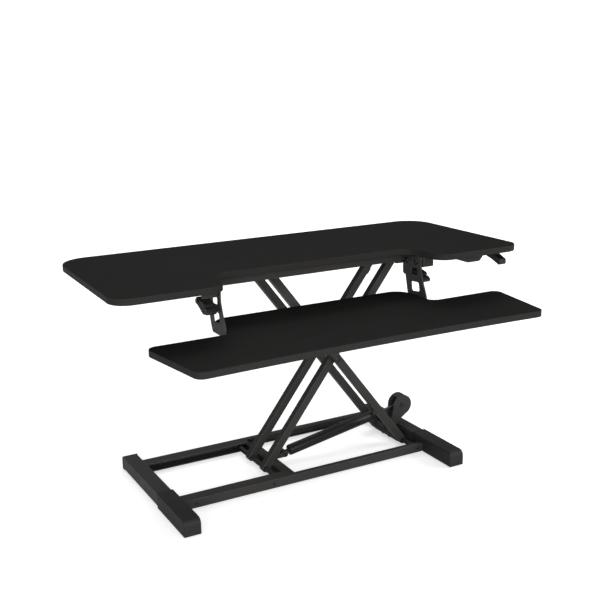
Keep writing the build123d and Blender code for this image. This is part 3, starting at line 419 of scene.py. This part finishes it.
DESK_UNDER, TRAY_UNDER = 0.546, 0.437                # undersides of the boards
RAIL_WALL, SHEET = 0.002, 0.003                      # sheet of the rails, and of hangers and arms
RAIL_SCREW_INSET, RAIL_SCREWS_X = 0.008, (-0.336, 0, 0.120, 0.240)
HANGER_SCREW_X, TRAY_SCREW_X = 0.288, 0.240
bm = bmesh.new()
for x in RAIL_SCREWS_X:
    for face in (-1, 1):
        y = MID_Y + face * (TOP_WEB - RAIL_SCREW_INSET)
        screw(bm, (x, y, DESK_UNDER - RAIL_WALL), -Z_AXIS, RAIL_SCREW)
for side in (-1, 1):
    for y in (-0.047, -0.024):
        screw(bm, (side * HANGER_SCREW_X, y, DESK_UNDER - SHEET), -Z_AXIS, BOARD_SCREW)
piece("desktop_screws_detailed", bm, "top", "black_fastener", ["desktop_screws"])

bm = bmesh.new()
for side in (-1, 1):
    for y in (-0.084, -0.034):
        screw(bm, (side * TRAY_SCREW_X, y, TRAY_UNDER - SHEET), -Z_AXIS, BOARD_SCREW)
piece("tray_screws_detailed", bm, "top", "black_fastener", ["tray_screws"])

ARM_X, WEB_X = 0.259, 0.262                          # the arm's inner and outer faces
BOLT_HEAD, BOLT_RISE, BOLT_SHANK = 0.007, 0.003, 0.004
NUT_CORNER, NUT_RISE = 0.007, 0.004
bm = bmesh.new()
for side in (-1, 1):
    for y, z in ((-0.012, 0.530), (-0.048, 0.532)):
        screw(bm, (side * ARM_X, y, z), -side * X_AXIS, 2 * SHEET, BOLT_HEAD, BOLT_RISE, BOLT_SHANK)
        nut(bm, (side * (WEB_X + SHEET), y, z), side * X_AXIS, NUT_CORNER, NUT_RISE, BOLT_SHANK)
piece("hanger_bolts_detailed", bm, "top", "black_fastener", ["hanger_bolts"])

PIVOT_OUTER, PIVOT_INNER = 0.073, 0.0297             # middle plane to the bolt's head and nut
PIVOT_LENGTH, PIVOT_HEAD, PIVOT_RISE, PIVOT_SHANK = 0.0427, 0.009, 0.002, 0.005
PIVOT_NUT_CORNER, PIVOT_NUT_RISE = 0.008, 0.0027
for name, face in (("front", -1), ("rear", 1)):
    bm = bmesh.new()
    screw(bm, CENTRE + face * PIVOT_OUTER * Y_AXIS, face * Y_AXIS, PIVOT_LENGTH, PIVOT_HEAD,
          PIVOT_RISE, PIVOT_SHANK)
    nut(bm, CENTRE + face * PIVOT_INNER * Y_AXIS, -face * Y_AXIS, PIVOT_NUT_CORNER, PIVOT_NUT_RISE,
        PIVOT_SHANK)
    piece(f"centre_bolt_{name}_detailed", bm, "outer_frame", "black_fastener",
          [f"centre_bolt_{name}"])

# ---------------------------------------------------------------- rollers and gas spring
# Profiles of (radius, distance along the axis), in mm.
WHEEL = ((4.05, 0), (5.6, 0), (5.9, 0.8), (7.2, 0.8), (7.6, 0), (7.9, 0), (8.7, 0.9), (8.7, 8.6),
         (8.3, 9.1), (8.3, 10.9), (8.7, 11.4), (8.7, 19.1), (7.9, 20), (7.6, 20), (7.2, 19.2),
         (5.9, 19.2), (5.6, 20), (4.05, 20))
ROLLER_INSET = 0.026                      # rail's outer face to the roller's inner face
FINE = 64                                 # sides of a round that is seen close


def in_metres(profile):
    return [(radius / 1000, along / 1000) for radius, along in profile]


for level, half_span, height in (("lower", BASE_WEB, LOW_Z), ("upper", TOP_WEB, HIGH_Z)):
    for name, face in (("front", -1), ("rear", 1)):
        bm = bmesh.new()
        place = aim((SLIDING_X, MID_Y + face * (half_span - ROLLER_INSET), height), face * Y_AXIS)
        lathe(bm, place, in_metres(WHEEL), FINE, closed=True)
        piece(f"{level}_roller_{name}_grooved", bm, f"{level}_roller_{name}", "roller_nylon",
              [f"{level}_roller_{name}"])

SPRING_WAY = (SPRING_HEAD - SPRING_BASE).normalized()
SPRING_LENGTH = (SPRING_HEAD - SPRING_BASE).length
BARREL = ((3, 4.5), (5.5, 4.5), (5.5, 6.5), (5.0, 7.0), (5.5, 7.5), (5.5, 13.5), (10.5, 15.2),
          (12.6, 16), (13.6, 17), (14, 19), (14, 262), (13.3, 263.2), (13.3, 265.2), (14, 266.4),
          (14, 274.5), (13.5, 276.6), (12.2, 277.8), (10.5, 278), (9.3, 277.4), (9.0, 276.2),
          (6.4, 276.2), (6.0, 277.2), (4.6, 277.2), (4.3, 276.4), (4.3, 272))
EYE = ((4.05, 0), (7.2, 0), (8, 0.8), (8, 17.2), (7.2, 18), (4.05, 18))
EYE_HALF = 0.009
bm = bmesh.new()
lathe(bm, aim(SPRING_BASE, SPRING_WAY), in_metres(BARREL), FINE)
lathe(bm, aim(SPRING_BASE - EYE_HALF * Y_AXIS, Y_AXIS), in_metres(EYE), closed=True)
piece("spring_cylinder_detailed", bm, "spring_cylinder", "powder_coat", ["spring_cylinder"],
      CYLINDER_PAINT)

COLLAR_FROM_HEAD, COLLAR_STEPS = 0.021, 96
bm = bmesh.new()
grip = ribbed(0.0075, 0.0006, 16)
collar = [(0.004, 0), (0.0062, 0), (0.0068, 0.0008), (grip, 0.0012), (grip, 0.0072),
          (0.0068, 0.0078), (0.0068, 0.0086), (0.0075, 0.009), (0.0075, 0.0104), (0.007, 0.011),
          (0.004, 0.011)]
place = aim(SPRING_BASE + (SPRING_LENGTH - COLLAR_FROM_HEAD) * SPRING_WAY, SPRING_WAY)
lathe(bm, place, collar, COLLAR_STEPS, closed=True)
piece("spring_valve_collar_ribbed", bm, "spring_rod", "moulded_plastic", ["spring_valve_collar"])

# ---------------------------------------------------------------- welds
WELD, RIPPLE = 0.0013, 0.14               # bead radius, and the share by which it swells


def ring_welds(centre, apart, radius, count):
    """Two rings of weld round a bar along Y, apart from its middle on either side."""
    bm = bmesh.new()
    for face in (-1, 1):
        ring = ring_points(centre + face * apart * Y_AXIS, radius, count)
        rope(bm, ring, Y_AXIS, WELD, RIPPLE, closed=True)
    return bm


bm = ring_welds(Vector((FIXED_X, MID_Y, LOW_Z)), 0.0150, 0.0111, 60)
piece("weld_torsion_tube", bm, "outer_frame", "powder_coat")

BRACE_ALONG = 0.64                        # share of the inner leg's length, from its foot
BRACE = Vector((SLIDING_X + BRACE_ALONG * (FIXED_X - SLIDING_X), MID_Y,
                LOW_Z + BRACE_ALONG * (HIGH_Z - LOW_Z)))
bm = ring_welds(BRACE, 0.0298, 0.0082, 50)
piece("weld_inner_brace", bm, "inner_frame", "powder_coat")

TIE_X, TIE_Y, TIE_LOW, TIE_HIGH = 0.342, 0.145, 0.527, 0.543
bm = bmesh.new()
for side in (-1, 1):
    for face in (-1, 1):
        x, y = side * TIE_X, MID_Y + face * TIE_Y
        rope(bm, line_points((x, y, TIE_LOW), (x, y, TIE_HIGH), 24), X_AXIS, WELD, RIPPLE)
piece("weld_top_ties", bm, "top", "powder_coat")

RAIL_END_X, RAIL_LOW, RAIL_HIGH, RAIL_TOP = 0.3403, 0.0055, 0.0245, 0.0260
bm = bmesh.new()
for side in (-1, 1):
    x, y = side * RAIL_END_X, MID_Y + BASE_WEB
    rope(bm, line_points((x, y, RAIL_LOW), (x, y, RAIL_HIGH), 28), X_AXIS, WELD, RIPPLE)
    rope(bm, line_points((x, MID_Y + 0.124, RAIL_TOP), (x, MID_Y + 0.1365, RAIL_TOP), 18), X_AXIS,
         WELD, RIPPLE)
piece("weld_base_rails", bm, "base", "powder_coat")

# ---------------------------------------------------------------- ribs on the moulded parts
RIBS = 5
LATCH_RIB, PADDLE_RIB = 0.0006, 0.0007              # bead radii
LATCH_FACE_X = 0.290
LATCH_HUB, LATCH_TIP = Vector((0, -0.014, 0.504)), Vector((0, -0.060, 0.4868))
FIRST_SHARE, NEXT_SHARE = 0.34, 0.10                # the ribs' places from hub to tip
along = (LATCH_TIP - LATCH_HUB).normalized()
across = Vector((0, -along.z, along.y))
for name, side in (("left", -1), ("right", 1)):
    bm = bmesh.new()
    for k in range(RIBS):
        share = FIRST_SHARE + NEXT_SHARE * k
        middle = LATCH_HUB.lerp(LATCH_TIP, share) + side * LATCH_FACE_X * X_AXIS
        rib = line_points(middle - 0.0050 * across, middle + 0.0040 * across, 8)
        rope(bm, rib, X_AXIS, LATCH_RIB)
    piece(f"latch_{name}_grip", bm, f"latch_{name}", "moulded_plastic")

PADDLE_LEFT, PADDLE_RIGHT = 0.4568, 0.4732
bm = bmesh.new()
for k in range(RIBS):
    y, z = -0.094 - 0.0052 * k, 0.5229 - 0.00195 * k
    rope(bm, line_points((PADDLE_LEFT, y, z), (PADDLE_RIGHT, y, z), 10), Z_AXIS, PADDLE_RIB)
piece("release_paddle_grip", bm, "paddle", "moulded_plastic")

PAD_X, PADS_Y = 0.35875, (-0.070, 0.290)
PAD_WIDTH, PAD_LENGTH, PAD_RISE = 0.022, 0.034, 0.003
TREAD_WIDTH, TREAD_DEPTH, TREAD_PITCH, TREAD_TOP = 0.019, 0.0036, 0.0062, 0.0014
bm = bmesh.new()
for side in (-1, 1):
    for y in PADS_Y:
        slab(bm, (side * PAD_X, y), PAD_WIDTH, PAD_LENGTH, 0.005, 0.0012, PAD_RISE)
        for k in range(RIBS):
            tread = (side * PAD_X, y + TREAD_PITCH * (k - (RIBS - 1) / 2))
            slab(bm, tread, TREAD_WIDTH, TREAD_DEPTH, 0.0015, 0.0, TREAD_TOP, shrink=0.0003)
piece("rubber_pads_ribbed", bm, "base", "pad_rubber", ["rubber_pads"])

# ---------------------------------------------------------------- floor, light and camera
HORIZON_LIGHT, OVERHEAD_LIGHT = 0.04, 0.48           # tent's strength by height
FLOOR_LIFT, FADE_START, FADE_END = 0.54, 1.2, 3.5    # floor's own light near, then full far off
FLOOR_REACH = 30
WHITE = (1, 1, 1, 1)
corners = [(x * FLOOR_REACH, y * FLOOR_REACH, 0) for x, y in ((-1, -1), (1, -1), (1, 1), (-1, 1))]
floor_mesh = bpy.data.meshes.new("studio_floor")
floor_mesh.from_pydata(corners, [], [(0, 1, 2, 3)])
studio_floor = bpy.data.objects.new("studio_floor", floor_mesh)
bpy.context.scene.collection.objects.link(studio_floor)
paper = Recipe("studio_paper")
paper.put("Base Color", paper.mix(paper.noise(2.0), (0.93, 0.93, 0.93, 1), (0.95, 0.95, 0.95, 1)))
paper.put("Roughness", 0.95)
paper.put("Specular IOR Level", 0.0)
paper.put("Emission Color", WHITE)
far = paper.node("ShaderNodeVectorMath", {0: paper.place}, operation="LENGTH").outputs["Value"]
seen_directly = paper.node("ShaderNodeLightPath").outputs["Is Camera Ray"]
glow_far = paper.ramp(far, FADE_START, FADE_END, FLOOR_LIFT, 1.0)
paper.put("Emission Strength", paper.maths("MULTIPLY", glow_far, seen_directly))
floor_mesh.materials.append(paper.material)

world = bpy.data.worlds.new("studio")
bpy.context.scene.world = world
world.use_nodes = True
sky = world.node_tree
sky.nodes.clear()

# Dim near the horizon and bright overhead, like a studio tent; plain white behind the object.
direction = grow(sky, "ShaderNodeTexCoord").outputs["Generated"]
height = grow(sky, "ShaderNodeSeparateXYZ", {0: direction}).outputs["Z"]
glow = grow(sky, "ShaderNodeMapRange", {"Value": height, "From Min": 0.15, "From Max": 0.75,
                                        "To Min": HORIZON_LIGHT, "To Max": OVERHEAD_LIGHT},
            interpolation_type="SMOOTHSTEP").outputs[0]
tent = grow(sky, "ShaderNodeBackground", {"Color": WHITE, "Strength": glow}).outputs[0]
backdrop = grow(sky, "ShaderNodeBackground", {"Color": WHITE, "Strength": 1.0}).outputs[0]
seen = grow(sky, "ShaderNodeLightPath").outputs["Is Camera Ray"]
both = grow(sky, "ShaderNodeMixShader", {0: seen, 1: tent, 2: backdrop}).outputs[0]
grow(sky, "ShaderNodeOutputWorld", {0: both})
bpy.context.scene.view_settings.view_transform = "Standard"


def softbox(name, place, toward, width, height, power):
    """Rectangular lamp at place, facing toward; power in watts."""
    light = bpy.data.lights.new(name, "AREA")
    light.shape = "RECTANGLE"
    light.size, light.size_y = width, height
    light.energy = power
    lamp = bpy.data.objects.new(name, light)
    lamp.location = place
    way = Vector(toward) - Vector(place)
    lamp.rotation_euler = way.to_track_quat("-Z", "Y").to_euler()
    bpy.context.scene.collection.objects.link(lamp)


# place, aim, width, height and watts of each lamp
softbox("front", (-0.3, -3.0, 1.2), (0, 0, 0.3), 2.4, 1.6, 46)
softbox("rim_rear", (0.4, 1.6, 3.0), (0, 0.1, 0.4), 2.4, 1.0, 18)
softbox("fill_right", (2.6, -1.6, 1.6), (0, 0, 0.3), 1.2, 1.6, 34)
softbox("fill_left", (-2.4, -2.6, 0.9), (0.2, 0, 0.2), 1.6, 1.0, 36)

CAMERA_PLACE = (-1.05547, -1.88632, 1.0228)
YAW, PITCH, ROLL = math.radians(28.53), math.radians(14.51), math.radians(-0.93)
LENS_MM, SENSOR_MM = 57.67, 36
forward = Vector((math.sin(YAW) * math.cos(PITCH), math.cos(YAW) * math.cos(PITCH),
                  -math.sin(PITCH)))
level_right = Vector((math.cos(YAW), -math.sin(YAW), 0))
level_up = level_right.cross(forward)
right = math.cos(ROLL) * level_right + math.sin(ROLL) * level_up
up = -math.sin(ROLL) * level_right + math.cos(ROLL) * level_up
lens = bpy.data.cameras.new("camera")
lens.sensor_width = SENSOR_MM
lens.lens = LENS_MM
camera = bpy.data.objects.new("camera", lens)
turn = Matrix((right, up, -forward)).transposed().to_4x4()
camera.matrix_world = Matrix.Translation(CAMERA_PLACE) @ turn
bpy.context.scene.collection.objects.link(camera)
bpy.context.scene.camera = camera
